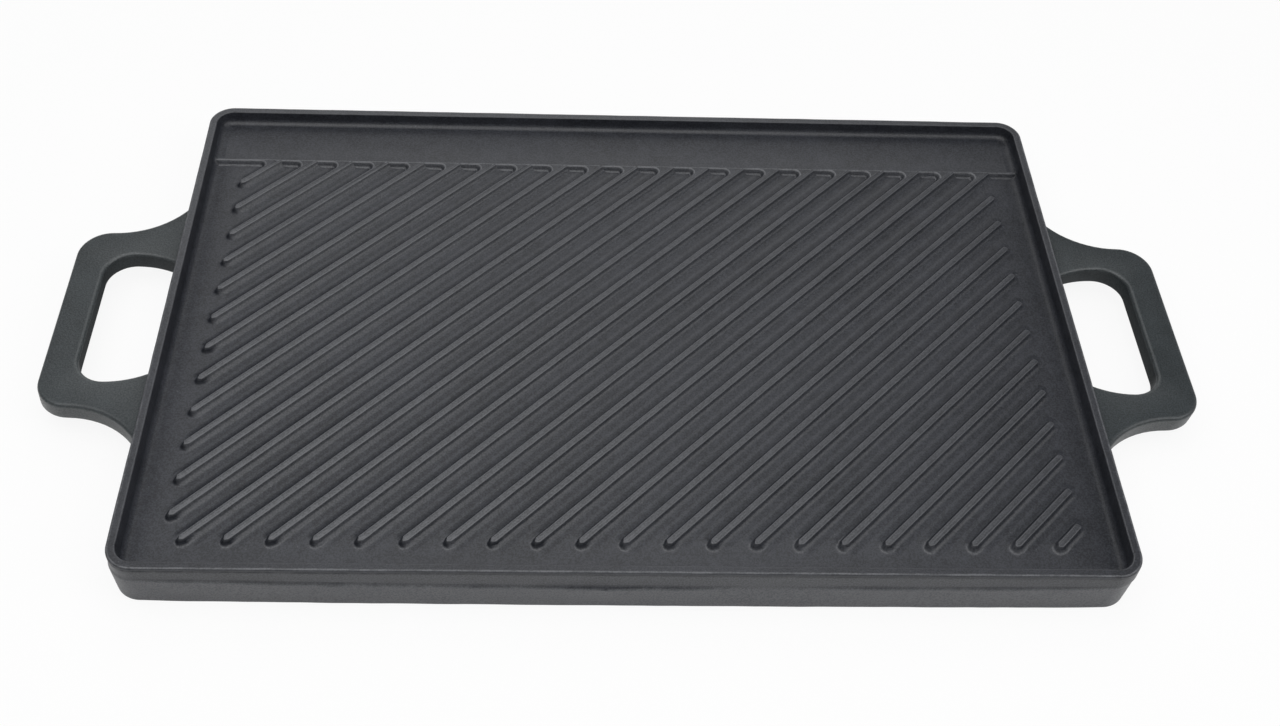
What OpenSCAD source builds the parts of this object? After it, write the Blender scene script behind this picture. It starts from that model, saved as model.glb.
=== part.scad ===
// Cast iron griddle plate for a camp stove: a shallow tray with diagonal sear ribs,
// a smooth rear shelf and a loop handle at each end. The casting is built up from
// the sections of its pattern, which meet face to face.
// Millimetres, +Z up. The origin lies under the middle of the plate, at the level
// that the plate stands on, with the shelf at the back, towards +Y.

/* [Plate] */
// Width of the plate, over the side walls
plate_w = 393; // [340:1:450]
// Depth of the plate, over the front and back walls
plate_d = 261; // [220:1:300]
// Height of the rim walls
plate_h = 23; // [20:0.5:30]
// Radius of the plate's upright corners
corner_r = 10.5; // [9.5:0.5:20]

/* [Rim walls] */
// Thickness of a rim wall
wall_t = 3.8; // [3.4:0.1:6]
// Radius of the cove between a wall and the floor
cove_r = 4; // [2:0.25:5]
// Rounding of the rim's edges
rim_round = 1; // [0.5:0.1:1.6]

/* [Floor and shelf] */
// Depth of the cooking recess, from the rim's top to the floor
recess_h = 8; // [6.5:0.5:10]
// Thickness of the floor
floor_t = 5; // [4:0.5:7]
// Depth of the smooth rear shelf, from the back wall's inner face
shelf_d = 27; // [15:0.5:60]

/* [Sear ribs] */
// Distance from rib to rib, square to their length
rib_pitch = 12; // [9:0.5:20]
// Angle of the ribs to the plate's width
rib_angle = 45; // [30:1:60]
// Shift of the rows of ribs to the right, square to their length
rib_shift = 0.5; // [0:0.1:6]
// Width of a rib at its top
rib_top_w = 2.6; // [2:0.1:4]
// Width of a rib at the floor
rib_base_w = 4; // [3.4:0.1:7]
// Height of the ribs, and of the shelf, above the floor
rib_h = 2.2; // [1.5:0.1:4]
// Bare floor between the side walls' coves and the ribs' ends
rib_side_gap = 10.6; // [4:0.1:30]
// Bare floor between the front wall's cove and the ribs' ends
rib_front_gap = 9.9; // [4:0.1:30]
// Length of the shortest rib that is cast
rib_min_l = 10; // [8:0.5:30]

/* [Handles] */
// Reach of a handle beyond its side wall
handle_reach = 46.5; // [42:0.5:60]
// Thickness of a handle
handle_t = 9; // [7:0.5:12]
// Drop from the rim's top to a handle's upper face
handle_drop = 5.5; // [2:0.5:8]
// Width of the grip bar
grip_w = 14.3; // [12:0.1:18]
// Radius of a handle's outer corners
grip_corner_r = 14; // [8:0.5:18]
// Width of an arm beside the finger gap
arm_w = 14; // [10:0.5:20]
// Length of the finger gap, from arm to arm
gap_l = 72.4; // [60:0.2:100]
// Radius of the finger gap's outer corners
gap_corner_r = 12; // [6:0.5:14]
// Spread of an arm's outer side where it meets the wall
root_spread = 19; // [6:0.5:24]
// Spread of an arm's inner side where it meets the wall
gap_spread = 5.7; // [2:0.1:10]

/* [Hidden] */
$fn = 48;

// Steps in a rounded stretch of an outline
arc_steps = 10;
// Overrun of a cutting block past the solid that it trims
overrun = 1;

iron = [0.29, 0.30, 0.30];
iron_light = [0.34, 0.35, 0.35];

// Heights
floor_z = plate_h - recess_h;
under_z = floor_z - floor_t;
rib_top_z = floor_z + rib_h;
handle_z = plate_h - handle_drop - handle_t;

// Half sizes of the straight walls and of the flat floor
side_x = plate_w / 2;
back_y = plate_d / 2;
straight_x = side_x - corner_r;
straight_y = back_y - corner_r;
wall_foot = wall_t + cove_r;
floor_x = side_x - wall_foot;
floor_y = back_y - wall_foot;

// Field that the ribs fill, up to the shelf's front edge
rib_x = floor_x - rib_side_gap;
rib_front_y = -floor_y + rib_front_gap;
shelf_y = back_y - wall_t - shelf_d;

// Handle outline: u runs outwards from the side wall, v along it
gap_v = gap_l / 2;
arm_v = gap_v + arm_w;
bend_u = handle_reach - grip_w - gap_corner_r;
bend_v = gap_v - gap_corner_r;
flare_u = handle_reach - grip_corner_r;
flare_r = (pow(flare_u, 2) + pow(root_spread, 2)) / (2 * root_spread);
gap_flare_r = (pow(bend_u, 2) + pow(gap_spread, 2)) / (2 * gap_spread);
flare_centre = [flare_u, arm_v + flare_r];
gap_flare_centre = [bend_u, gap_v - gap_flare_r];
// Angles at which the outer flare leaves the wall and passes from arm to bend
flare_wall_a = atan2(root_spread - flare_r, -flare_u);
flare_bend_a = -acos((bend_u - flare_u) / flare_r);
gap_wall_a = atan2(gap_flare_r - gap_spread, -bend_u);

// Points of an arc about centre c, from angle a0 to angle a1
function arc(c, r, a0, a1) =
    [for (i = [0:arc_steps]) let (a = a0 + (a1 - a0) * i / arc_steps)
        c + r * [cos(a), sin(a)]];

// Cross-section of the rim, across the wall from the corner's own axis at 0
module rim_section() {
    toe = corner_r - wall_foot;
    inner = corner_r - wall_t;
    polygon(concat(
        arc([toe, under_z - cove_r], cove_r, 90, 0),
        arc([inner + rim_round, rim_round], rim_round, 180, 270),
        arc([corner_r - rim_round, rim_round], rim_round, 270, 360),
        arc([corner_r - rim_round, plate_h - rim_round], rim_round, 0, 90),
        arc([inner + rim_round, plate_h - rim_round], rim_round, 90, 180),
        arc([toe, floor_z + cove_r], cove_r, 0, -90)
    ));
}

// Straight wall of half length half_l, whose outer face lies at distance out along +Y
module straight_wall(half_l, out) {
    translate([half_l, out - corner_r, 0])
        rotate([90, 0, -90])
            linear_extrude(2 * half_l)
                mirror([1, 0]) rim_section();
}

module front_wall() {
    color(iron) rotate(180) straight_wall(straight_x, back_y);
}

module back_wall() {
    color(iron) straight_wall(straight_x, back_y);
}

module left_wall() {
    color(iron) rotate(90) straight_wall(straight_y, side_x);
}

module right_wall() {
    color(iron) rotate(-90) straight_wall(straight_y, side_x);
}

module rim_corners() {
    color(iron)
        for (turn = [0:3]) {
            odd = turn % 2 == 1;
            rotate(90 * turn)
                translate(odd ? [straight_y, straight_x, 0] : [straight_x, straight_y, 0])
                    rotate_extrude(angle = 90) rim_section();
        }
}

// Web between the two cooking faces, out to the toes of the coves
module griddle_floor() {
    color(iron)
        translate([0, 0, under_z])
            linear_extrude(floor_t) {
                square([2 * floor_x, 2 * straight_y], center = true);
                square([2 * straight_x, 2 * floor_y], center = true);
                for (sx = [-1, 1], sy = [-1, 1])
                    translate([sx * straight_x, sy * straight_y])
                        circle(corner_r - wall_foot);
            }
}

// Raised strip along the back, cut to the coves of the walls round it
module rear_shelf() {
    color(iron_light)
        difference() {
            translate([-side_x + wall_t, shelf_y, floor_z])
                cube([plate_w - 2 * wall_t, shelf_d, rib_h]);
            back_wall();
            left_wall();
            right_wall();
            rim_corners();
        }
}

// One rib along +X from the origin, with its sides and its ends sloping in to its top
module rib(l) {
    draft = (rib_base_w - rib_top_w) / 2;
    intersection() {
        rotate([90, 0, 90])
            linear_extrude(l)
                polygon([
                    [-rib_base_w / 2, 0], [rib_base_w / 2, 0],
                    [rib_top_w / 2, rib_h], [-rib_top_w / 2, rib_h]
                ]);
        translate([0, rib_base_w, 0])
            rotate([90, 0, 0])
                linear_extrude(2 * rib_base_w)
                    polygon([[0, 0], [l, 0], [l - draft, rib_h], [draft, rib_h]]);
    }
}

// Ends of the rib that lies at distance s from the plate's centre, along its length
function rib_start(s) =
    max((-rib_x + s * sin(rib_angle)) / cos(rib_angle),
        (rib_front_y - s * cos(rib_angle)) / sin(rib_angle));
function rib_side_end(s) = (rib_x + s * sin(rib_angle)) / cos(rib_angle);
function rib_shelf_end(s) = (shelf_y - s * cos(rib_angle)) / sin(rib_angle);

// Ribs across the field. Those that reach the shelf run into its front edge
module sear_ribs() {
    rows = ceil((plate_w + plate_d) / rib_pitch / 2);
    runout = rib_base_w / tan(rib_angle) + rib_base_w;
    color(iron_light)
        intersection() {
            for (row = [-rows:rows]) {
                s = (row + 0.5) * rib_pitch - rib_shift;
                start = rib_start(s);
                end = min(rib_side_end(s), rib_shelf_end(s) + runout);
                if (min(rib_side_end(s), rib_shelf_end(s)) - start > rib_min_l)
                    rotate(rib_angle)
                        translate([start, s, floor_z]) rib(end - start);
            }
            translate([-side_x, -back_y, floor_z])
                cube([plate_w, back_y + shelf_y, rib_h + overrun]);
        }
}

// Flared arm on the +V side of a handle, from the wall to the bend
module arm_outline() {
    polygon(concat(
        arc(gap_flare_centre, gap_flare_r, gap_wall_a, 90),
        arc(flare_centre, flare_r, flare_bend_a, flare_wall_a)
    ));
}

// Rounded corner on the +V side of a handle, from the arm to the grip
module bend_outline() {
    polygon(concat(
        arc([bend_u, bend_v], gap_corner_r, 90, 0),
        [[handle_reach, bend_v]],
        arc([flare_u, arm_v - grip_corner_r], grip_corner_r, 0, 90),
        arc(flare_centre, flare_r, -90, flare_bend_a)
    ));
}

// Straight bar that the fingers close round
module grip_outline() {
    translate([handle_reach - grip_w, -bend_v]) square([grip_w, 2 * bend_v]);
}

// Stands a handle outline on the right-hand wall, or on the left-hand one
module on_wall(left = false) {
    color(iron)
        mirror([left ? 1 : 0, 0, 0])
            translate([side_x, 0, handle_z])
                linear_extrude(handle_t) children();
}

// A piece of a handle and its mirror image at the other end of the handle
module pair() {
    children();
    mirror([0, 1]) children();
}

module left_arms() {
    on_wall(left = true) pair() arm_outline();
}

module left_bends() {
    on_wall(left = true) pair() bend_outline();
}

module left_grip() {
    on_wall(left = true) grip_outline();
}

module right_arms() {
    on_wall() pair() arm_outline();
}

module right_bends() {
    on_wall() pair() bend_outline();
}

module right_grip() {
    on_wall() grip_outline();
}

griddle_floor();
front_wall();
back_wall();
left_wall();
right_wall();
rim_corners();
rear_shelf();
sear_ribs();
left_arms();
left_bends();
left_grip();
right_arms();
right_bends();
right_grip();
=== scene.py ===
"""Cast iron camp griddle plate: the dressed model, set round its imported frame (Blender 4.5)."""
import math

import bmesh
import bpy
from mathutils import Matrix, Vector, noise


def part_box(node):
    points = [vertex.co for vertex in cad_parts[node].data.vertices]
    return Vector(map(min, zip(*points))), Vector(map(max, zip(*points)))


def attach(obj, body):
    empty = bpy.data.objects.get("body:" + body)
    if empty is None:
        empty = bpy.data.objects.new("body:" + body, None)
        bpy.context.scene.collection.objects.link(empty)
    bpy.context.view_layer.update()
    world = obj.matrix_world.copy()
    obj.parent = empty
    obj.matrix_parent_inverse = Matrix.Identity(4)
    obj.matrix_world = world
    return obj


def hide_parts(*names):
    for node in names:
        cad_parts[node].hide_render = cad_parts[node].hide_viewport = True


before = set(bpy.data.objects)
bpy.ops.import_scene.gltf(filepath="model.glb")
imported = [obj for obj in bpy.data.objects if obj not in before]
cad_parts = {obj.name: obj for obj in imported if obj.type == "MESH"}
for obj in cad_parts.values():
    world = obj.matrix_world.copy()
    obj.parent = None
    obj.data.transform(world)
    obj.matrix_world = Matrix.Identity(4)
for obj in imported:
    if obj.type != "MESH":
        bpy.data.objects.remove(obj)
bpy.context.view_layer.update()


# Rim: the upright wall round the griddle, four straight runs and four corners of grey iron, sand cast
# in one with the plate. A cove runs into the cooking face and another into the underside, and the
# outer face keeps the draft and the parting seam of its two mould halves.
mm = 0.001
touch = 1e-6
up = Vector((0, 0, 1))
rim_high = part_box("rim_corners")[1]
side_x, rim_z = rim_high.x, rim_high.z
straight_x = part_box("front_wall")[1].x
straight_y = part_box("left_wall")[1].y
web_low, web_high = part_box("griddle_floor")
under_z, cook_z = web_low.z, web_high.z
shelf_low, shelf_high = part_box("rear_shelf")
shelf_y, shelf_z = shelf_low.y, shelf_high.z
corner_r = side_x - straight_x
under_cove_r = 4 * mm
inner_u = corner_r - (side_x - web_high.x - under_cove_r)
cove_r = 2.9 * mm
toe_u = inner_u - under_cove_r
strip_u = toe_u - 1 * mm
inner_draft = 0.4 * mm
inner_edge_r = 0.5 * mm
outer_edge_r = 0.8 * mm
edge_hold = 0.25 * mm
foot_edge_r = 0.8 * mm
arc_steps = 6
face_steps = 30
corner_steps = 24
ring_step = 1.1 * mm
step_d = 1.2 * mm
cove_climb = 3 * mm
sharp_edge = math.radians(50)
wear_reach = 0.7 * mm

seam_z = 13.6 * mm
seam_climb = 2.2 * mm
seam_wander = 0.5 * mm
seam_h = 0.7 * mm
seam_end = 18 * mm
seam_seed = 195.73
seam_shade = 0.85
shade_rise = 0.3 * mm
corner_seam = 0.2
skin = 0.25 * mm
upper_draft = 0.15 * mm
lower_draft = 0.5 * mm
shoulder = 0.95 * mm
shoulder_fall = 0.8
mould_shift = 0.5 * mm
dressed_x = 52 * mm
dressed_l = 24 * mm
dressed_off = 0.8
flaws = [(-110.5 * mm, 4 * mm, 0.5 * mm), (-96 * mm, 1.3 * mm, 0.7 * mm)]
flaw_h = 0.9 * mm
face_wave, face_wave_l = 0.1 * mm, 9 * mm
top_wave, top_wave_l = 0.08 * mm, 14 * mm

wall_shade = 0.34
back_wall_shade = 0.4
cove_shade_w = 0.5 * mm
cove_highlight = 0.12
cove_highlight_x = 150 * mm
lip_h = 2.4 * mm
lip_wear_and_highlight = 0.4
lip_chips = 0.75
lip_fade = (0.3 * mm, 0.05 * mm)
land_sheen = 0.37
land_fall = 0.7
land_x = (-75 * mm, 150 * mm)
land_y = (-90 * mm, 60 * mm)
flat_top = 0.01 * mm
upper_face_light = 0.6
lower_face_light = 0.4
end_light_fall = 0.3
face_light_w = 0.8 * mm
groove_shade = 0.3
groove_more, groove_left = 0.3, (-40 * mm, -110 * mm)
groove_less, groove_right = 0.2, (80 * mm, 130 * mm)

patch_w = 45 * mm
blotch_w = 7 * mm
grain_w = 0.7 * mm
sand_w = 1.1 * mm
speck_gap = 6 * mm
grain_depth = 0.12 * mm
# The darkest colour is both the random dark tone of the seasoning and the colour of painted shade; the
# rubbed colour stands for rubbed film and for painted highlights and painted light.
sooty_and_shaded_iron = (0.009, 0.0102, 0.0135, 1)
oiled_iron = (0.0405, 0.0434, 0.0530, 1)
rubbed_and_lit_iron = (0.107, 0.1105, 0.120, 1)


class Flow:
    """One output of a finish's nodes; sums on it add Math nodes."""

    def __init__(self, tree, socket=None):
        self.tree = tree
        self.socket = socket

    def node(self, kind, settings, sockets, output=0):
        """Adds a node: its settings first, then the values or links of its sockets."""
        made = self.tree.nodes.new("ShaderNode" + kind)
        for name, value in settings.items():
            setattr(made, name, value)
        for name, value in sockets.items():
            if isinstance(value, Flow):
                self.tree.links.new(value.socket, made.inputs[name])
            else:
                made.inputs[name].default_value = value
        return Flow(self.tree, made.outputs[output] if made.outputs else None)

    def math(self, operation, first, second):
        return self.node("Math", {"operation": operation}, {0: first, 1: second})

    def __add__(self, other):
        return self.math("ADD", self, other)

    def __radd__(self, other):
        return self.math("ADD", other, self)

    def __sub__(self, other):
        return self.math("SUBTRACT", self, other)

    def __rsub__(self, other):
        return self.math("SUBTRACT", other, self)

    def __mul__(self, other):
        return self.math("MULTIPLY", self, other)

    def __rmul__(self, other):
        return self.math("MULTIPLY", other, self)

    def ramp(self, low, high):
        """Gives 0 at low and 1 at high, with soft ends."""
        sockets = {"Value": self, "From Min": low, "From Max": high}
        return self.node("MapRange", {"interpolation_type": "SMOOTHSTEP"}, sockets)

    def mix(self, first, second):
        """Mixes two colours by this flow."""
        return self.node("Mix", {"data_type": "RGBA"}, {0: self, 6: first, 7: second}, 2)


def season_iron(name, dark, light, rubbed_and_lit, rub):
    """Makes seasoned cast iron: fine sand grain under a thin baked oil film.

    The meshes carry three marks: worn on edges that turn outwards; a second for rubbed film together
    with painted highlights and painted light, which lightens the iron towards its rubbed colour; and
    a third for painted shade, which darkens it and takes its shine away.
    """
    finish = bpy.data.materials.new(name)
    finish.use_nodes = True
    finish.node_tree.nodes.clear()
    start = Flow(finish.node_tree)
    place = start.node("TexCoord", {}, {}, "Object")
    worn = start.node("Attribute", {"attribute_name": "worn"}, {}, "Fac")
    bare_and_lit = start.node("Attribute", {"attribute_name": "bare_and_lit"}, {}, "Fac")
    painted_shade = start.node("Attribute", {"attribute_name": "painted_shade"}, {}, "Fac")

    def clouds(size, detail, roughness):
        sockets = {"Vector": place, "Scale": 1 / size, "Detail": detail, "Roughness": roughness}
        return start.node("TexNoise", {}, sockets)

    patches = clouds(patch_w, 2, 0.5)
    blotches = clouds(blotch_w, 3, 0.6)
    grain = clouds(grain_w, 3, 0.65)
    sand = start.node("TexVoronoi", {}, {"Vector": place, "Scale": 1 / sand_w})
    dots = start.node("TexVoronoi", {}, {"Vector": place, "Scale": 1 / speck_gap})
    speck = 1 - dots.ramp(0.03, 0.06)
    tone = patches.ramp(0.3, 0.7) * 0.2 + blotches.ramp(0.3, 0.7) * 0.2 + grain.ramp(0.4, 0.6) * 0.6
    # Lightened by edge wear, specks, and the second mark: rubbed film with painted highlights and light.
    rub_and_light = worn * rub * (0.55 + 0.9 * blotches) + speck * 0.5
    rub_and_light = rub_and_light + bare_and_lit * (0.45 + 0.7 * grain.ramp(0.35, 0.65))
    rub_and_light = start.math("MINIMUM", rub_and_light, 1.0)
    colour = rub_and_light.mix(tone.mix(dark, light), rubbed_and_lit)
    gloss = 0.31 + 0.06 * patches.ramp(0.25, 0.75) - 0.05 * blotches + 0.12 * grain
    height = grain * 0.9 + sand * 0.6 + blotches * 0.6
    bump = start.node("Bump", {}, {"Height": height, "Strength": 0.5, "Distance": grain_depth})
    sockets = {"Base Color": colour, "Roughness": gloss, "Normal": bump, "IOR": 1.5}
    oiled = start.node("BsdfPrincipled", {}, sockets)
    # Painted shade: where the third mark is set, the iron turns dark and loses its shine.
    sockets = {"Base Color": painted_shade.mix(colour, dark), "Roughness": 1.0, "Normal": bump,
               "Specular IOR Level": 0.0}
    dull = start.node("BsdfPrincipled", {}, sockets)
    surface = start.node("MixShader", {}, {0: painted_shade, 1: oiled, 2: dull})
    start.node("OutputMaterial", {}, {"Surface": surface})
    return finish


plate_iron = season_iron("plate_iron", sooty_and_shaded_iron, oiled_iron, rubbed_and_lit_iron, 0.3)


def draw_line(bm, pen, *points):
    """Draws straight stretches of an outline on from its end vertex, and gives the new end."""
    for point in points:
        pen = bmesh.ops.extrude_vert_indiv(bm, verts=[pen])["verts"][0]
        pen.co = point
    return pen


def draw_arc(bm, pen, centre, degrees, axis, steps=arc_steps):
    """Draws an arc of an outline on from its end vertex, and gives the new end."""
    angle = math.radians(degrees)
    swung = bmesh.ops.spin(bm, geom=[pen], cent=centre, axis=axis, angle=angle, steps=steps)
    return next(part for part in swung["geom_last"] if isinstance(part, bmesh.types.BMVert))


def close_outline(bm, pen, first):
    """Joins an outline's two ends and fills it."""
    bmesh.ops.contextual_create(bm, geom=[pen, first])
    return bmesh.ops.contextual_create(bm, geom=bm.edges[:])["faces"]


def draw_rim_section(bm, axis_x, run_y, level):
    """Draws the wall's section across its run, for a cooking face at the given level."""
    def at(out, z):
        return (axis_x + out, run_y, z)

    turn = (0, -1, 0)
    wall_u = inner_u + inner_draft
    land_in_u = wall_u + inner_edge_r
    land_out_u = corner_r - outer_edge_r
    face_top = rim_z - outer_edge_r
    face_h = face_top - foot_edge_r
    face_z = [face_top - face_h * step / face_steps for step in range(1, face_steps + 1)]
    first = bm.verts.new(at(strip_u, level))
    pen = draw_line(bm, first, at(inner_u - cove_r, level))
    pen = draw_arc(bm, pen, at(inner_u - cove_r, level + cove_r), 90, turn)
    pen = draw_line(bm, pen, at(wall_u, rim_z - inner_edge_r))
    pen = draw_arc(bm, pen, at(land_in_u, rim_z - inner_edge_r), -90, turn)
    pen = draw_line(bm, pen, at(land_in_u + edge_hold, rim_z), at(land_out_u - edge_hold, rim_z),
                    at(land_out_u, rim_z))
    pen = draw_arc(bm, pen, at(land_out_u, face_top), -90, turn)
    pen = draw_line(bm, pen, *[at(corner_r, z) for z in face_z])
    pen = draw_arc(bm, pen, at(corner_r - foot_edge_r, foot_edge_r), -90, turn)
    pen = draw_line(bm, pen, at(inner_u + inner_edge_r, 0))
    pen = draw_arc(bm, pen, at(inner_u + inner_edge_r, inner_edge_r), -90, turn)
    pen = draw_line(bm, pen, at(inner_u, under_z - under_cove_r))
    pen = draw_arc(bm, pen, at(toe_u, under_z - under_cove_r), 90, turn)
    pen = draw_line(bm, pen, at(strip_u, under_z))
    return close_outline(bm, pen, first)


def rim_place(point):
    """Gives how far out from the corner axes a point of the rim lies, and its way outwards."""
    reach = Vector((max(abs(point.x) - straight_x, 0), max(abs(point.y) - straight_y, 0), 0))
    reach.x = math.copysign(reach.x, point.x)
    reach.y = math.copysign(reach.y, point.y)
    return reach.length, reach.normalized()


def within(value, low, high):
    """Gives how far value has come from low to high, from 0 to 1."""
    return min(max((value - low) / (high - low), 0), 1)


def ease(share):
    """Softens both ends of a share from 0 to 1."""
    return share * share * (3 - 2 * share)


def swell(distance, width):
    """Gives a soft hump: 1 at its middle, near 0 past its width."""
    return math.exp(-(distance / width) ** 2)


def cast_outer_face(bm):
    """Leaves the foundry's marks on the wall, and where its seasoning is sooty, thin or rubbed."""
    bare_and_lit = bm.verts.layers.float.new("bare_and_lit")
    painted_shade = bm.verts.layers.float.new("painted_shade")
    for vert in bm.verts:
        x, y, z = vert.co
        out, way = rim_place(vert.co)
        share = within(out, inner_u, corner_r)
        if share == 0:
            # Painted shade on the strip and lower cove along the side walls, where the walls keep light
            # off.
            vert[painted_shade] = wall_shade * abs(way.x) * within(out, inner_u, inner_u - cove_r / 2)
            if way.y > 0.9:
                toe = inner_u - cove_r
                # Painted shade on the toe strip of the back wall, which the wall shades.
                vert[painted_shade] = back_wall_shade * within(out, toe + cove_shade_w, toe)
                # A painted highlight along the back cove, fading out to the right.
                band = swell(out - inner_u + 0.7 * cove_r, 0.3 * cove_r)
                vert[bare_and_lit] = cove_highlight * band * within(x, cove_highlight_x, 0)
            continue
        along = Vector((x, y, 0)) / mm
        endwise = (x / side_x) ** 2
        seam = seam_z + seam_climb * endwise + seam_wander * noise.noise(along * 0.03)
        rise = z - seam
        below = ease(within(-rise, -seam_h, seam_h))
        ragged = 1 + 0.7 * noise.noise(along * 0.05 + seam_seed * up) + 0.3 * noise.noise(along * 0.3)
        bulge = skin + upper_draft * within(z, rim_z, seam) - lower_draft * within(z, seam, 0)
        straight = within(abs(x), straight_x + seam_end / 4, straight_x - seam_end)
        corner_fade = corner_seam + (1 - corner_seam) * straight
        # Painted shade: the seam's shadow under its shoulder and the pits keep the face's painted light
        # off.
        shade_amount = seam_shade * corner_fade * swell(rise - shade_rise, seam_h) * within(ragged, 0.35, 1.15)
        if y < -straight_y:
            dressed = 1 - dressed_off * swell(x - dressed_x, dressed_l)
            ragged *= dressed
            shade_amount *= dressed
            for flaw_x, flaw_l, flaw_d in flaws:
                flaw = swell(x - flaw_x, flaw_l) * swell(rise, flaw_h)
                bulge -= flaw_d * flaw
                shade_amount = max(shade_amount, flaw)
        ragged = 1 + (ragged - 1) * within(z, seam_z / 4, seam_z)
        bulge += shoulder * (1 - shoulder_fall * endwise) * corner_fade * ragged * below
        bulge += face_wave * noise.noise(vert.co / face_wave_l)
        depth = rim_z - z
        # The outer lip is rubbed bare in ragged chips and painted as a highlight along its edge.
        chips = within(noise.noise(along * 0.25) + 0.7 * noise.noise(along * 0.6), -0.4, 0.4)
        lip = lip_wear_and_highlight + lip_chips * chips
        if out > corner_r - outer_edge_r - touch and depth < outer_edge_r:
            vert[bare_and_lit] = lip * within(depth, *lip_fade)
        elif depth < flat_top:
            # Painted sheen on the rim's top, stronger towards the left and the back.
            sheen_across = 1 - land_fall * within(x, *land_x)
            vert[bare_and_lit] = land_sheen * sheen_across * within(y, *land_y)
        elif share > 0.9:
            # Painted reflected light on the outer face below the lip, the lower half lighter as if lit
            # from the floor, and less towards the ends.
            face_light = upper_face_light + lower_face_light * below - end_light_fall * (1 - 0.7 * below) * endwise
            vert[bare_and_lit] = face_light * within(depth, lip_h - face_light_w, lip_h) * (1 - shade_amount)
            # Painted shade in a dark line under the lip, deeper to the left and lighter to the right.
            groove = groove_shade + groove_more * within(x, *groove_left)
            groove -= groove_less * within(x, *groove_right)
            vert[painted_shade] = groove * lip * swell(depth - lip_h / 2, lip_h / 3)
        vert.co += way * share * bulge
        vert.co.x -= mould_shift * below * share
        vert.co.z += top_wave * share * noise.noise(vert.co / top_wave_l + up)


def rub_edges(bm):
    """Marks each vertex with how sharply the iron turns outwards there, for wear on the edges."""
    worn = bm.verts.layers.float.new("worn")
    bm.normal_update()
    for vert in bm.verts:
        if not all(edge.smooth for edge in vert.link_edges):
            continue
        ways = [vert.co - edge.other_vert(vert).co for edge in vert.link_edges]
        bend = max(2 * vert.normal.dot(way) / way.length_squared for way in ways)
        vert[worn] = min(max(bend * wear_reach, 0), 1)


def set_piece(name, bm, finish):
    """Turns a bmesh into a smooth-shaded piece with its finish, square edges kept square."""
    bmesh.ops.recalc_face_normals(bm, faces=bm.faces[:])
    for face in bm.faces:
        face.smooth = True
    for edge in bm.edges:
        edge.smooth = edge.calc_face_angle(0) < sharp_edge
    rub_edges(bm)
    mesh = bpy.data.meshes.new(name)
    bm.to_mesh(mesh)
    bm.free()
    mesh.materials.append(finish)
    piece = bpy.data.objects.new(name, mesh)
    bpy.context.scene.collection.objects.link(piece)
    return piece


for side, quarter in (("right", 0), ("back", 1), ("left", 2), ("front", 3)):
    bm = bmesh.new()
    half_run, axis_x = (straight_y, straight_x) if quarter % 2 == 0 else (straight_x, straight_y)
    section = draw_rim_section(bm, axis_x, -half_run, shelf_z if side == "back" else cook_z)
    rings = round(2 * half_run / ring_step)
    bmesh.ops.spin(bm, geom=section, cent=(0, 0, 0), axis=up, angle=0, steps=rings,
                   dvec=(0, 2 * half_run / rings, 0))
    bmesh.ops.rotate(bm, verts=bm.verts[:], cent=(0, 0, 0),
                     matrix=Matrix.Rotation(quarter * math.pi / 2, 3, "Z"))
    if side in ("left", "right"):
        for vert in bm.verts:
            in_cove = abs(vert.co.z - cook_z - cove_r / 2) < cove_r / 2 + touch
            if in_cove and rim_place(vert.co)[0] < inner_u + touch:
                climb = within(vert.co.y, shelf_y + step_d - cove_climb, shelf_y + step_d)
                vert.co.z += (shelf_z - cook_z) * ease(climb)
    cast_outer_face(bm)
    wall = set_piece(f"cast_{side}_wall", bm, plate_iron)
    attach(wall, "root")
    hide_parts(f"{side}_wall")


def join_casting(whole, part):
    """Adds one bmesh to another."""
    carrier = bpy.data.meshes.new("carrier")
    part.to_mesh(carrier)
    part.free()
    whole.from_mesh(carrier)
    bpy.data.meshes.remove(carrier)


bm = bmesh.new()
for quarter in range(4):
    corner = bmesh.new()
    half_run, axis_x = (straight_y, straight_x) if quarter % 2 == 0 else (straight_x, straight_y)
    section = draw_rim_section(corner, axis_x, half_run, shelf_z if quarter < 2 else cook_z)
    bmesh.ops.spin(corner, geom=section, cent=(axis_x, half_run, 0), axis=up, angle=math.pi / 2,
                   steps=corner_steps)
    bmesh.ops.rotate(corner, verts=corner.verts[:], cent=(0, 0, 0),
                     matrix=Matrix.Rotation(quarter * math.pi / 2, 3, "Z"))
    join_casting(bm, corner)
cast_outer_face(bm)
corners = set_piece("cast_rim_corners", bm, plate_iron)
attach(corners, "root")
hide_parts("rim_corners")


# Cooking face: the flat web of the casting inside the rim, with the same sand skin on both sides.
# It reaches the coves of the rim all round, and runs on under the shelf. Painted shade darkens it
# along the two side walls, where the walls keep the light off.
field_x = straight_x + strip_u
field_y = straight_y + strip_u
left_shade_w = 10 * mm
right_shade_w = 20 * mm
shade_cuts = 6


def cut_across(bm, cut_x):
    """Cuts a casting's faces across the plate, so that a mark on them can fade from cut to cut."""
    bmesh.ops.bisect_plane(bm, geom=bm.verts[:] + bm.edges[:] + bm.faces[:], dist=touch,
                           plane_co=(cut_x, 0, 0), plane_no=(1, 0, 0))


bm = bmesh.new()
bmesh.ops.create_cube(bm, size=1)
bmesh.ops.scale(bm, verts=bm.verts[:], vec=(2 * field_x, 2 * field_y, cook_z - under_z))
bmesh.ops.translate(bm, verts=bm.verts[:], vec=(0, 0, (cook_z + under_z) / 2))
posts = [edge for edge in bm.edges if abs(edge.verts[0].co.z - edge.verts[1].co.z) > mm]
bmesh.ops.bevel(bm, geom=posts, offset=strip_u, affect="EDGES", segments=corner_steps, profile=0.5,
                material=-1)
for facing, crust_w in ((-1, left_shade_w), (1, right_shade_w)):
    for cut in range(1, shade_cuts + 1):
        cut_across(bm, facing * (field_x - crust_w * cut / shade_cuts))
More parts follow.
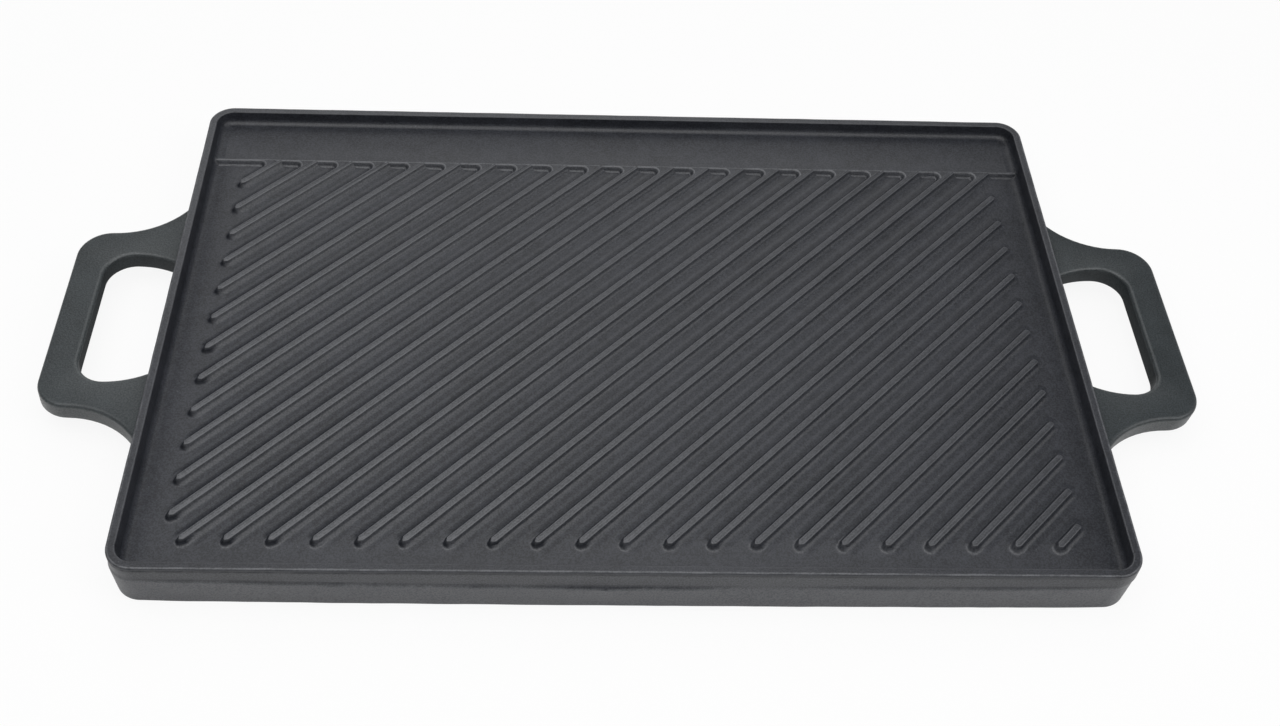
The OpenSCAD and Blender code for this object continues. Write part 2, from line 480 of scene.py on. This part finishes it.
# Painted shade along the two side walls, wider on the right.
painted_shade = bm.verts.layers.float.new("painted_shade")
for vert in bm.verts:
    left_shade = within(-vert.co.x, field_x - left_shade_w, field_x)
    right_shade = within(vert.co.x, field_x - right_shade_w, field_x)
    vert[painted_shade] = wall_shade * max(left_shade ** 2, right_shade)
web = set_piece("cooking_face", bm, plate_iron)
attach(web, "root")
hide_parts("griddle_floor")


# Rear shelf: the plain strip along the back of the cooking face, cast up level with the rib tops to
# rest a tool on. Its front is a steep low step, rounded above and filleted into the face below.
bed = 0.01 * mm
bed_z = cook_z - bed
step_h = shelf_z - cook_z
step_foot = 1.4 * mm
step_fillet_r = 1.6 * mm
step_edge_r = 0.9 * mm
step_face_light = 0.12
brow_wear_and_highlight = 0.68
toe_highlight = 0.4
light_uneven, light_uneven_l = 0.6, 5 * mm
light_more, light_left = 0.5, (20 * mm, -150 * mm)
light_less, light_right = 0.5, (70 * mm, 150 * mm)
shelf_shade_w = 17 * mm
shelf_lengths = 180
shelf_end_x = straight_x + inner_u - 0.5 * mm
back_of_step = shelf_y + step_d


def bank(height, top, foot, fillet_r, edge_r, apron_r=0.0, apron_turn=0.0, steps=5):
    """Gives the section of a low step, from its toe to its brow: distance out and height."""
    lean = math.atan2(height, foot - top)
    sweep = math.radians(apron_turn)
    fillet_h = apron_r * (1 - math.cos(sweep)) + fillet_r * (math.cos(sweep) - math.cos(lean))
    toe = foot - fillet_h / math.tan(lean) + fillet_r * (math.sin(lean) - math.sin(sweep))
    toe += apron_r * math.sin(sweep)
    brow = top - edge_r * math.tan(lean / 2)
    points = [(toe, 0.0)]
    for radius, first, last in ((apron_r, 0, sweep), (fillet_r, sweep, lean)):
        out, rise = points[-1]
        for step in range(1, steps + 1 if radius else 1):
            turn = first + (last - first) * step / steps
            points.append((out - radius * (math.sin(turn) - math.sin(first)),
                           rise + radius * (math.cos(first) - math.cos(turn))))
    for step in range(steps + 1):
        turn = lean * (1 - step / steps)
        points.append((brow + edge_r * math.sin(turn), height - edge_r * (1 - math.cos(turn))))
    return points + [(brow - edge_hold, height)]


step_bank = bank(step_h, 0, step_foot, step_fillet_r, step_edge_r)


def step_light(out, height):
    """Gives the step's painted light: a highlight on its rubbed brow, less at its toe and on its face.
    """
    if out < step_bank[-1][0] + edge_hold / 2 or height < flat_top:
        return 0
    brow = within(height, 0.75 * step_h, 0.95 * step_h)
    toe = within(height, 0.3 * step_h, 0)
    return step_face_light + brow_wear_and_highlight * brow + toe_highlight * toe


def cast_strip(end_x, outline):
    """Casts a strip of the shelf across the plate from its outline: distances back and levels."""
    strip = bmesh.new()
    first = strip.verts.new((-end_x, *outline[0]))
    pen = draw_line(strip, first, *[(-end_x, y, z) for y, z in outline[1:]])
    section = close_outline(strip, pen, first)
    bmesh.ops.spin(strip, geom=section, cent=(0, 0, 0), axis=up, angle=0, steps=shelf_lengths,
                   dvec=(2 * end_x / shelf_lengths, 0, 0))
    return strip


step_front = [(shelf_y - out, cook_z + height) for out, height in step_bank[1:]]
shade_y = [field_y - shelf_shade_w * cut / shade_cuts for cut in range(shade_cuts, -1, -1)]
shelf_top = [(back_of_step, shelf_z)] + [(y, shelf_z) for y in shade_y]
bm = cast_strip(field_x, [(back_of_step, bed_z)] + shelf_top + [(field_y, bed_z)])
posts = [edge for edge in bm.edges if min(vert.co.y for vert in edge.verts) > field_y - touch
         and min(abs(vert.co.x) for vert in edge.verts) > field_x - touch]
bmesh.ops.bevel(bm, geom=posts, offset=strip_u, affect="EDGES", segments=corner_steps, profile=0.5,
                material=-1)
join_casting(bm, cast_strip(shelf_end_x, [(shelf_y - step_bank[0][0], bed_z)] + step_front
                            + [(back_of_step, shelf_z), (back_of_step, bed_z)]))
bare_and_lit = bm.verts.layers.float.new("bare_and_lit")
painted_shade = bm.verts.layers.float.new("painted_shade")
# Painted shade on the shelf towards the back wall, which shades it; painted highlights and light on the
# step, stronger to the left and weaker to the right.
for vert in bm.verts:
    vert[painted_shade] = back_wall_shade * within(vert.co.y, field_y - shelf_shade_w, field_y)
    ragged = 1 + light_uneven * noise.noise(vert.co / light_uneven_l)
    ragged *= 1 + light_more * within(vert.co.x, *light_left) - light_less * within(vert.co.x, *light_right)
    vert[bare_and_lit] = ragged * step_light(shelf_y - vert.co.y, vert.co.z - cook_z)
shelf = set_piece("warming_shelf", bm, plate_iron)
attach(shelf, "root")
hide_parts("rear_shelf")


# Searing ribs: low ridges cast across the cooking face at 45 degrees, narrow and lightly crowned on
# top, with steep sides, a full fillet at the foot and blunt ends. The back ends run out into the
# shelf, where a gusset rounds the sharp corner beside each of them.
rib_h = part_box("sear_ribs")[1].z - cook_z
rib_pitch = 12 * mm
rib_shift = 0.68 * mm
rib_side_gap = 10.6 * mm
rib_front_gap = 9.9 * mm
rib_top_r = 1.28 * mm
rib_foot_r = 1.95 * mm
rib_fillet_r = 1.4 * mm
rib_apron_r = 72 * mm
rib_apron_turn = 2.5
rib_edge_r = 0.4 * mm
rib_crown = 0.05 * mm
rib_wave, rib_wave_l = 0.08 * mm, 6 * mm
rib_seed = 11
lee_lean = 0.95 * mm
left_set = 0.8 * mm
front_set = -0.6 * mm
near_run = 1.0 * mm
far_set = 0.5 * mm
far_run = 0.4 * mm
far_square = 0.15
sink_start = 0.2 * mm
sink_slope = 0.07
rib_min_l = 10 * mm
rib_overrun = 5 * mm
rib_stretch = 4 * mm
rib_rows = 40
end_steps = 12
gusset_r = 2.7 * mm
gusset_sunk = 0.02 * mm
gusset_back = 0.9 * mm
gusset_sweep = -135
gusset_highlight = 1.4
rib_way = Vector((1, 1, 0)).normalized()
rib_side = Vector((-1, 1, 0)).normalized()
rib_x = web_high.x - rib_side_gap
rib_front_y = web_low.y + rib_front_gap

crest_wear_and_shine = 0.64
shine_back, shine_back_y = 0.5, (-100 * mm, 60 * mm)
shine_tip, shine_tip_l = 0.4, (2 * mm, 0.5 * mm)
shine_edge, shine_edge_x = 0.5, (0, -100 * mm)
shine_least = 0.1
shine_full_x = -150 * mm
shelf_fade_y = (shelf_y - 1 * mm, shelf_y - 7 * mm)
rib_back_shadow = 0.5
shadow_back, shadow_back_y = 0.4, (20 * mm, 100 * mm)
shadow_right, shadow_right_x = 0.45, (-150 * mm, 0)
side_shade = 0.18
skirt_shade = 0.2
tip_shade = 0.85
tip_less, tip_less_x = 0.3, (-50 * mm, 100 * mm)
rib_foot_highlight = 0.22
halo_less, halo_less_x = 0.7, (-120 * mm, 60 * mm)
front_end_y = (-80 * mm, -110 * mm)
rib_iron = season_iron("rib_iron", sooty_and_shaded_iron, oiled_iron, rubbed_and_lit_iron, 0.45)
rib_bank = bank(rib_h, rib_top_r, rib_foot_r, rib_fillet_r, rib_edge_r, rib_apron_r, rib_apron_turn)
rib_bank.append((rib_bank[-1][0] / 2, rib_h + rib_crown))


def raise_rings(bm, bank_points, place):
    """Raises an outline ring by ring up a bank, each vertex where place puts it, and caps both ends."""
    ring, edges = bm.verts[:], bm.edges[:]
    bmesh.ops.contextual_create(bm, geom=edges)
    for number, (out, height) in enumerate(bank_points):
        if number:
            raised = bmesh.ops.extrude_edge_only(bm, edges=edges)["geom"]
            ring = [part for part in raised if isinstance(part, bmesh.types.BMVert)]
            edges = [part for part in raised if isinstance(part, bmesh.types.BMEdge)]
        for vert in ring:
            vert.co = place(Vector((vert.co.x, vert.co.y, 0)), out, height)
    bmesh.ops.contextual_create(bm, geom=edges)


def mark_rib(rib, near):
    """Paints a rib's highlights on its rubbed crest and round its foot, and shadow and shade below it.
    """
    bare_and_lit = rib.verts.layers.float.new("bare_and_lit")
    painted_shade = rib.verts.layers.float.new("painted_shade")
    front_end = within(near.y, *front_end_y)
    for vert in rib.verts:
        x, y, z = vert.co
        height = z - cook_z
        along = (vert.co - near).dot(rib_way)
        across = (vert.co - near).dot(rib_side)
        low = within(height, 0.9 * rib_h, 0.5 * rib_h)
        skirt = within(height, 0.02 * rib_h, 0.05 * rib_h)
        if along < 0:
            # At the near tip: painted shade on the end face, less to the right, and a painted highlight
            # round its foot at the front ends.
            shade_amount = tip_shade - tip_less * within(near.x, *tip_less_x)
            below_top = within(height, rib_h, 0.8 * rib_h)
            vert[painted_shade] = shade_amount * below_top * within(height, 0.04 * rib_h, 0.15 * rib_h)
            vert[bare_and_lit] = 3 * rib_foot_highlight * front_end * skirt * within(height, 0.2 * rib_h, 0.08 * rib_h)
        elif across > 0:
            # Painted shadow on the back-left: the rib's lower side and the floor by its foot, fainter to
            # the back and to the right.
            shadow_depth = rib_back_shadow * (1 - shadow_back * within(y, *shadow_back_y))
            shadow_depth *= 1 - shadow_right * within(x, *shadow_right_x)
            foot = within(across, rib_bank[0][0] - 1 * mm, rib_foot_r + rib_fillet_r)
            vert[painted_shade] = low * (side_shade + shadow_depth * foot)
        else:
            # On the front-right side: painted shade on the skirt and a painted highlight on the fillet
            # above it, fading to the right.
            vert[painted_shade] = skirt_shade * (1 - skirt)
            foot_light = rib_foot_highlight * (1 - halo_less * within(x, *halo_less_x))
            vert[bare_and_lit] = foot_light * skirt * within(height, rib_h, 0.7 * rib_h)
        # The crest is rubbed and painted with a highlight: brighter to the left and front, at the near
        # tip and along its front-right edge, and faded near the shelf.
        crest = within(height, 0.8 * rib_h, rib_h) * within(y, *shelf_fade_y)
        crest *= 1 - shine_back * within(y, *shine_back_y) + shine_tip * within(along, *shine_tip_l)
        crest *= 1 + shine_edge * within(-across, 0, rib_top_r) * within(x, *shine_edge_x)
        vert[bare_and_lit] += crest_wear_and_shine * crest * (shine_least + (1 - shine_least) * within(x, side_x, shine_full_x))


def cast_rib(near, far):
    """Casts one rib between the middles of its two rounded ends."""
    def place(point, out, height):
        reach = min(max((point - near).dot(rib_way), 0), (far - near).length)
        spot = near + rib_way * reach
        way = (point - spot).normalized()
        endwise, sidewise = way.dot(rib_way), way.dot(rib_side)
        if endwise > 0.01:
            out *= 1 + far_square * (2 * endwise * sidewise) ** 2
        out += lee_lean * max(-sidewise, 0) * (1 - height / rib_h) ** 2
        run = far_run if endwise > 0 else near_run
        spot += way * out + rib_way * endwise * run * (1 - height / rib_h)
        spot += rib_wave * noise.noise_vector(spot / rib_wave_l)
        past = max(spot.y - shelf_y - sink_start, 0)
        spot.z = bed_z + height - sink_slope * past
        return spot

    rib = bmesh.new()
    beside = rib_side * rib_foot_r
    stretches = max(1, round((far - near).length / rib_stretch))
    shares = [part / stretches for part in range(1, stretches + 1)]
    pen = rib.verts.new(near - beside)
    pen = draw_line(rib, pen, *[near.lerp(far, share) - beside for share in shares])
    pen = draw_arc(rib, pen, far, 180, up, end_steps)
    pen = draw_line(rib, pen, *[far.lerp(near, share) + beside for share in shares])
    draw_arc(rib, pen, near, 180, up, end_steps)
    bmesh.ops.remove_doubles(rib, verts=rib.verts[:], dist=touch)
    raise_rings(rib, rib_bank, place)
    mark_rib(rib, near)
    return rib


def cast_gusset(centre, degrees):
    """Casts the rounded corner that carries the step on round a middle in front of it."""
    def place(point, out, height):
        way = point - centre
        if way.length < gusset_r + 0.8 * gusset_back:
            way = way.normalized() * (gusset_r - out)
        return centre + way + up * (cook_z + height - (gusset_sunk if height else bed))

    sweep = math.radians(degrees)
    first_way = Vector((0, 1, 0))
    corner_way = Matrix.Rotation(sweep / 2, 3, "Z") @ first_way
    last_way = Matrix.Rotation(sweep, 3, "Z") @ first_way
    gusset = bmesh.new()
    first = gusset.verts.new(centre + first_way * gusset_r)
    pen = draw_arc(gusset, first, centre, degrees, up, end_steps)
    pen = draw_line(gusset, pen, centre + last_way * (gusset_r + gusset_back),
                    centre + corner_way * (gusset_r / math.cos(sweep / 2) + gusset_back),
                    centre + first_way * (gusset_r + gusset_back))
    bmesh.ops.contextual_create(gusset, geom=[pen, first])
    raise_rings(gusset, step_bank, place)
    bare_and_lit = gusset.verts.layers.float.new("bare_and_lit")
    gusset.verts.layers.float.new("painted_shade")
    # Painted highlights on the gusset's brow and toe, as on the step.
    for vert in gusset.verts:
        out = gusset_r - (Vector((vert.co.x, vert.co.y, 0)) - centre).length
        vert[bare_and_lit] = gusset_highlight * step_light(out, vert.co.z - cook_z)
    return gusset


noise.seed_set(rib_seed)
bm = bmesh.new()
for row in range(-rib_rows, rib_rows):
    offset = rib_side * ((row + 0.5) * rib_pitch - rib_shift)
    left_start = (-rib_x - offset.x) / rib_way.x + left_set
    start = max(left_start, (rib_front_y - offset.y) / rib_way.y + front_set)
    side_end = (rib_x - offset.x) / rib_way.x
    shelf_end = (shelf_y - offset.y) / rib_way.y
    if min(side_end, shelf_end) - start < rib_min_l:
        continue
    reaches_shelf = shelf_end < side_end
    end = shelf_end + rib_overrun if reaches_shelf else side_end - far_set - rib_top_r
    join_casting(bm, cast_rib(offset + rib_way * (start + rib_top_r), offset + rib_way * end))
    if reaches_shelf:
        centre = offset + rib_side * (rib_top_r + gusset_r)
        centre += rib_way * (shelf_y - gusset_r - centre.y) / rib_way.y
        join_casting(bm, cast_gusset(centre, gusset_sweep))
ribs = set_piece("searing_ribs", bm, rib_iron)
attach(ribs, "root")
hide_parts("sear_ribs")


# Handles: a flat loop cast on each end of the plate, with rounded edges and a finger gap right through.
# Its two arms spread as they run into the rim, and its top lies below the rim's top. The walls of the
# gap carry painted shade and its top edge by the arms a painted highlight; the outer sides carry
# painted light, the left handle's top a little more, and painted shade lies on the tops by the wall.
arm_w = 14 * mm
grip_corner_r = 14 * mm
flare_u = 32.5 * mm
gap_spread = 5.7 * mm
handle_top_r = 1.6 * mm
handle_low_r = 1.8 * mm
sunk = 1.5 * mm
root_fillet_r = 2.2 * mm
root_swell = 0.7
root_cuts = 4
bend_steps = 12
gap_steps = 8
handle_edge_steps = 6
flat_hold = 0.3 * mm
flat_area = 100 * mm * mm
handle_wave, handle_wave_l = 0.12 * mm, 22 * mm
gap_shade, gap_shade_more = 0.42, 0.35
gap_highlight = 0.5
side_light = 0.8
root_highlight = 0.5
arm_root_shade = 0.16
left_handle_light = 0.13
# Handle iron, tinted greener; its lightest colour is both rubbed film and painted highlights and light.
handle_iron = season_iron("handle_iron", (0.009, 0.0125, 0.014, 1), (0.040, 0.0495, 0.0545, 1),
                          (0.100, 0.108, 0.111, 1), 0.45)
for side, facing in (("left", -1), ("right", 1)):
    grip_low, grip_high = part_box(f"{side}_grip")
    arm_low, arm_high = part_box(f"{side}_arms")
    reach = max(abs(grip_low.x), abs(grip_high.x)) - side_x
    gap_u = min(abs(grip_low.x), abs(grip_high.x)) - side_x
    bend_u = max(abs(arm_low.x), abs(arm_high.x)) - side_x
    bend_v = grip_high.y
    gap_r = gap_u - bend_u
    gap_v = bend_v + gap_r
    arm_v = gap_v + arm_w
    root_spread = arm_high.y - arm_v
    flare_r = (flare_u ** 2 + root_spread ** 2) / (2 * root_spread)
    gap_flare_r = (bend_u ** 2 + gap_spread ** 2) / (2 * gap_spread)
    flare_turn = math.degrees(math.asin(flare_u / flare_r))
    gap_turn = math.degrees(math.asin(bend_u / gap_flare_r))
    top_z, low_z = grip_high.z, grip_low.z
    mid_z = (top_z + low_z) / 2

    def at(out, along):
        return (side_x + out, along, top_z)

    bm = bmesh.new()
    first = bm.verts.new(at(gap_u, 0))
    pen = draw_line(bm, first, at(gap_u, bend_v))
    pen = draw_arc(bm, pen, at(bend_u, bend_v), 90, up, bend_steps)
    pen = draw_arc(bm, pen, at(bend_u, gap_v - gap_flare_r), gap_turn, up, gap_steps)
    pen = draw_line(bm, pen, at(-sunk, pen.co.y - sunk / 2), at(-sunk, arm_high.y + sunk / 2),
                    at(0, arm_high.y))
    pen = draw_arc(bm, pen, at(flare_u, arm_v + flare_r), flare_turn, up, bend_steps)
    pen = draw_arc(bm, pen, at(flare_u, arm_v - grip_corner_r), -90, up, bend_steps)
    pen = draw_line(bm, pen, at(reach, 0))
    bmesh.ops.mirror(bm, geom=bm.verts[:] + bm.edges[:], axis="Y", merge_dist=touch)
    top = bmesh.ops.contextual_create(bm, geom=bm.edges[:])["faces"]
    lower = bmesh.ops.extrude_face_region(bm, geom=top, use_keep_orig=True)["geom"]
    bmesh.ops.translate(bm, verts=[part for part in lower if isinstance(part, bmesh.types.BMVert)],
                        vec=(0, 0, low_z - top_z))
    bmesh.ops.recalc_face_normals(bm, faces=bm.faces[:])
    for level, edge_r in ((top_z, handle_top_r), (low_z, handle_low_r)):
        rims = [edge for edge in bm.edges if all(abs(vert.co.z - level) < touch for vert in edge.verts)
                and max(vert.co.x for vert in edge.verts) > side_x - sunk / 2]
        bmesh.ops.bevel(bm, geom=rims, offset=edge_r, affect="EDGES", segments=handle_edge_steps,
                        profile=0.5, material=-1)
    flats = [face for face in bm.faces if abs(face.normal.z) > 0.999 and face.calc_area() > flat_area]
    bmesh.ops.inset_region(bm, faces=flats, thickness=flat_hold, use_even_offset=True)
    for cut in range(1, root_cuts + 1):
        cut_across(bm, side_x + root_fillet_r * cut / root_cuts)
    for vert in bm.verts:
        near = min(max(1 - (vert.co.x - side_x) / root_fillet_r, 0), 1)
        growth = root_fillet_r * (1 - math.sqrt(1 - near ** 2)) * root_swell
        below = within(vert.co.z, top_z - handle_top_r, low_z + handle_low_r)
        vert.co.z += growth * (vert.co.z - mid_z) / (top_z - mid_z)
        vert.co.z += handle_wave * noise.noise(vert.co / handle_wave_l)
        vert.co.x -= facing * mould_shift * below
    bare_and_lit = bm.verts.layers.float.new("bare_and_lit")
    painted_shade = bm.verts.layers.float.new("painted_shade")
    for vert in bm.verts:
        out = vert.co.x - side_x
        depth = top_z - vert.co.z
        side_skin = within(depth, handle_top_r / 2, handle_top_r)
        # Painted shade on the gap's walls, deepest along the grip, and a painted highlight on its top
        # edge by the arms.
        if out < (gap_u + reach) / 2 and abs(vert.co.y) < (gap_v + arm_v) / 2:
            along_grip = within(abs(vert.co.y), gap_v, bend_v)
            edge_band = swell(depth - 0.2 * handle_top_r, 0.25 * handle_top_r)
            vert[painted_shade] = (gap_shade + gap_shade_more * along_grip) * side_skin
            vert[bare_and_lit] = gap_highlight * (1 - along_grip) * edge_band
        else:
            # Painted light on the outer sides, and a painted highlight on the back arm's root.
            vert[bare_and_lit] = side_light * side_skin
            if vert.co.y * facing > arm_v:
                vert[bare_and_lit] += root_highlight * within(out, root_fillet_r / 2, 0) * (1 - side_skin)
        # Painted shade on the top towards the wall.
        vert[painted_shade] += arm_root_shade * within(out, bend_u, 0) * (1 - side_skin)
        # A little painted light on the left handle's top.
        if facing < 0:
            vert[bare_and_lit] += left_handle_light * (1 - side_skin)
    if facing < 0:
        bmesh.ops.rotate(bm, verts=bm.verts[:], cent=(0, 0, 0),
                         matrix=Matrix.Rotation(math.pi, 3, "Z"))
    handle = set_piece(f"{side}_handle", bm, handle_iron)
    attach(handle, "root")
    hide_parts(f"{side}_arms", f"{side}_bends", f"{side}_grip")


# Studio: a plain white floor, a wide soft light overhead and low panels behind and to the right, in a
# grey room that is dark in front. The camera stands where the photograph was taken from.
floor_half_w = 4
bm = bmesh.new()
bmesh.ops.create_grid(bm, x_segments=1, y_segments=1, size=floor_half_w)
floor_mesh = bpy.data.meshes.new("studio_floor")
bm.to_mesh(floor_mesh)
bm.free()
floor = bpy.data.objects.new("studio_floor", floor_mesh)
bpy.context.scene.collection.objects.link(floor)


def ray_is(start, kind):
    """Tells whether a surface is met by the given kind of ray."""
    return start.node("LightPath", {}, {}, f"Is {kind} Ray")


paper = bpy.data.materials.new("studio_paper")
paper.use_nodes = True
paper.node_tree.nodes.clear()
start = Flow(paper.node_tree)
mirrored = ray_is(start, "Glossy") + ray_is(start, "Transmission")
seen = 0.9 * ray_is(start, "Camera") + 0.3 * mirrored
matte = start.node("BsdfDiffuse", {}, {"Color": (0.9, 0.9, 0.9, 1)})
white = start.node("Emission", {}, {"Color": (1, 1, 1, 1), "Strength": 1.0})
sheet = start.node("MixShader", {}, {0: seen, 1: matte, 2: white})
start.node("OutputMaterial", {}, {"Surface": sheet})
floor_mesh.materials.append(paper)

room = bpy.data.worlds.new("studio_room")
bpy.context.scene.world = room
room.use_nodes = True
room.node_tree.nodes.clear()
start = Flow(room.node_tree)
seen = ray_is(start, "Camera")
way = start.node("TexCoord", {}, {}, "Generated")
ahead = start.node("SeparateXYZ", {}, {"Vector": way}, "Y")
shade = 0.14 + 0.14 * ahead.ramp(-0.3, 0.9)
strength = shade + seen * (1 - shade)
light = start.node("Background", {}, {"Color": (1, 1, 1, 1), "Strength": strength})
start.node("OutputWorld", {}, {"Surface": light})


def hang_light(name, width, height, place, tilt, power):
    """Hangs a soft rectangular light; with no tilt it faces straight down."""
    lamp = bpy.data.lights.new(name, "AREA")
    lamp.shape = "RECTANGLE"
    lamp.size = width
    lamp.size_y = height
    lamp.energy = power
    box = bpy.data.objects.new(name, lamp)
    box.location = place
    box.rotation_euler = [math.radians(angle) for angle in tilt]
    bpy.context.scene.collection.objects.link(box)


hang_light("overhead_softbox", 1.25, 1.05, (-0.265, -0.205, 0.95), (0, 0, 0), 7.4)
hang_light("back_panel", 1.4, 1.1, (-0.05, 1.25, 1.27), (-45, 0, 0), 5.3)
hang_light("right_panel", 0.9, 0.9, (0.91, -0.33, 0.87), (0, 48, -20), 5.2)

lens = bpy.data.cameras.new("camera")
lens.lens = 41.03
lens.shift_x = 0.0252
lens.shift_y = -0.0013
camera = bpy.data.objects.new("camera", lens)
camera.location = (-28.68 * mm, -421.4 * mm, 491.1 * mm)
camera.rotation_euler = (math.radians(40.103), math.radians(-2.016), math.radians(-0.708))
bpy.context.scene.collection.objects.link(camera)
bpy.context.scene.camera = camera
bpy.context.scene.view_settings.view_transform = "Standard"
